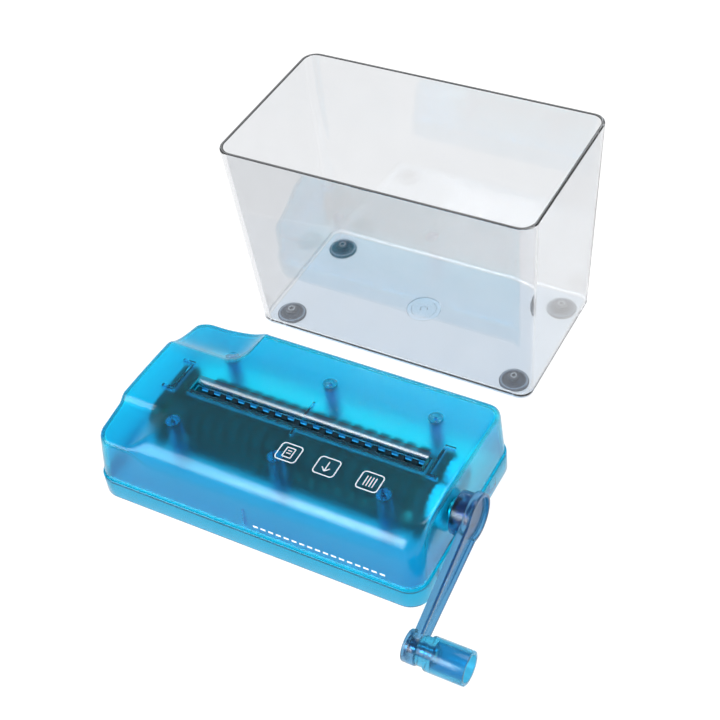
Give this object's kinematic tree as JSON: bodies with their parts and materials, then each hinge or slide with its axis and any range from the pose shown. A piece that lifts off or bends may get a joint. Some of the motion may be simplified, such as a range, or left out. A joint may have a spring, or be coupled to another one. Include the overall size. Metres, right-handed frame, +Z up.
{
  "type": "hand crank paper shredder",
  "caption": "Small hand-crank paper shredder: translucent blue head with a paper slot, geared cutters and side crank, standing in front of its clear bin.",
  "frame": {"origin": "centre of the whole footprint, on the surface that the bin and the head stand on", "axes": "+Z up; +X along the long sides towards the crank; +Y from the head towards the bin; -Y is the side with the printed marks and the crank's knob"},
  "size_m": [0.1944, 0.234, 0.1085],
  "materials": {
    "clear_plastic": "clear injection-moulded styrene, polished",
    "blue_translucent_plastic": "see-through blue styrene, satin inside, gloss outside",
    "slate_rubber": "moulded rubber",
    "dark_plastic": "moulded, fine texture",
    "bearing_brass": "turned",
    "blackened_steel": "blackened, light oil",
    "white_nylon": "moulded nylon",
    "bright_steel": "turned"
  },
  "bodies": {
    "bin": {"bin": "clear_plastic", "bin_foot_1": "slate_rubber", "bin_foot_2": "slate_rubber", "bin_foot_3": "slate_rubber", "bin_foot_4": "slate_rubber"},
    "head": {"base_frame": "blue_translucent_plastic", "top_cover": "blue_translucent_plastic", "bearing_plate_left": "dark_plastic", "bearing_plate_right": "dark_plastic", "bush_front_left": "bearing_brass", "bush_rear_left": "bearing_brass", "bush_front_right": "bearing_brass", "bush_rear_right": "bearing_brass", "crank_bush": "dark_plastic", "comb_front": "dark_plastic", "comb_rear": "dark_plastic", "cover_screw_1": "bright_steel", "cover_screw_2": "bright_steel", "cover_screw_3": "bright_steel", "cover_screw_4": "bright_steel", "cover_screw_5": "bright_steel", "cover_screw_6": "bright_steel"},
    "front_drive": {"front_shaft": "bright_steel", "front_cutter": "blackened_steel", "front_gear": "white_nylon", "clip_front_left": "bright_steel", "crank_arm": "blue_translucent_plastic", "knob_pin": "bright_steel"},
    "rear_drive": {"rear_shaft": "bright_steel", "rear_cutter": "blackened_steel", "rear_gear": "white_nylon", "clip_rear_left": "bright_steel", "clip_rear_right": "bright_steel"},
    "knob": {"knob": "blue_translucent_plastic"}
  },
  "joints": [
    {"name": "head_lift", "type": "slide", "parent": "bin", "child": "head", "axis": [0, 0, 1], "range_m": [0, 0.15]},
    {"name": "crank_spin", "type": "hinge", "parent": "head", "child": "front_drive", "pos_m": [0, -0.0534, 0.0252], "axis": [-1, 0, 0], "continuous": true},
    {"name": "rear_cutter_spin", "type": "hinge", "parent": "head", "child": "rear_drive", "pos_m": [0, -0.0382, 0.0252], "axis": [-1, 0, 0], "continuous": true},
    {"name": "knob_spin", "type": "hinge", "parent": "front_drive", "child": "knob", "pos_m": [0.08, -0.10972, 0.00761], "axis": [1, 0, 0], "continuous": true}
  ],
  "couplings": [
    {"joint": "rear_cutter_spin", "follows": "crank_spin", "ratio": -1}
  ]
}
